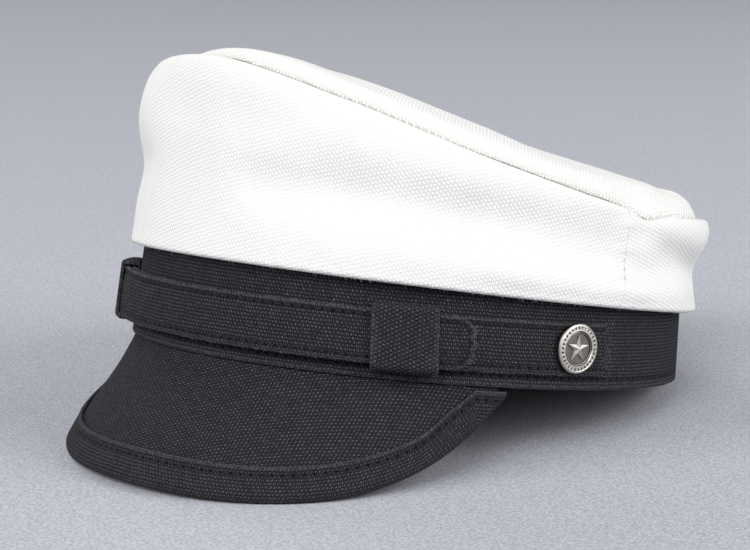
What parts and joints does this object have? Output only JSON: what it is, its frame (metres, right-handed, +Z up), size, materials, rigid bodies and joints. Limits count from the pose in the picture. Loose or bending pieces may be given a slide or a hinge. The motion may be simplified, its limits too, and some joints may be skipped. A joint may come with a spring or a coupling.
{
  "type": "sailor cap",
  "caption": "Sailor cap with a white canvas crown, a black canvas band, a curved peak, a front strap in cloth keepers and star buttons.",
  "frame": {"origin": "middle of the bounding box's bottom, on the surface the cap rests on", "axes": "+X to the wearer's left, +Y to the back so that the peak points to -Y, +Z up from the surface the cap rests on"},
  "size_m": [0.1862, 0.242, 0.1292],
  "materials": {
    "white_canvas": "coarse matt white cotton canvas",
    "black_canvas": "coarse matt black cotton canvas, top-stitched",
    "antique_silver": "darkened silver-coloured metal, worn bright on the raised edges"
  },
  "bodies": {
    "root": {"crown_front_panel": "white_canvas", "crown_back_panel": "white_canvas", "crown_top_panel": "white_canvas", "band_front": "black_canvas", "band_back": "black_canvas", "peak": "black_canvas", "peak_binding": "black_canvas", "strap_lower": "black_canvas", "strap_upper": "black_canvas", "keeper_left": "black_canvas", "keeper_right": "black_canvas", "button_left": "antique_silver", "button_right": "antique_silver"}
  },
  "joints": []
}
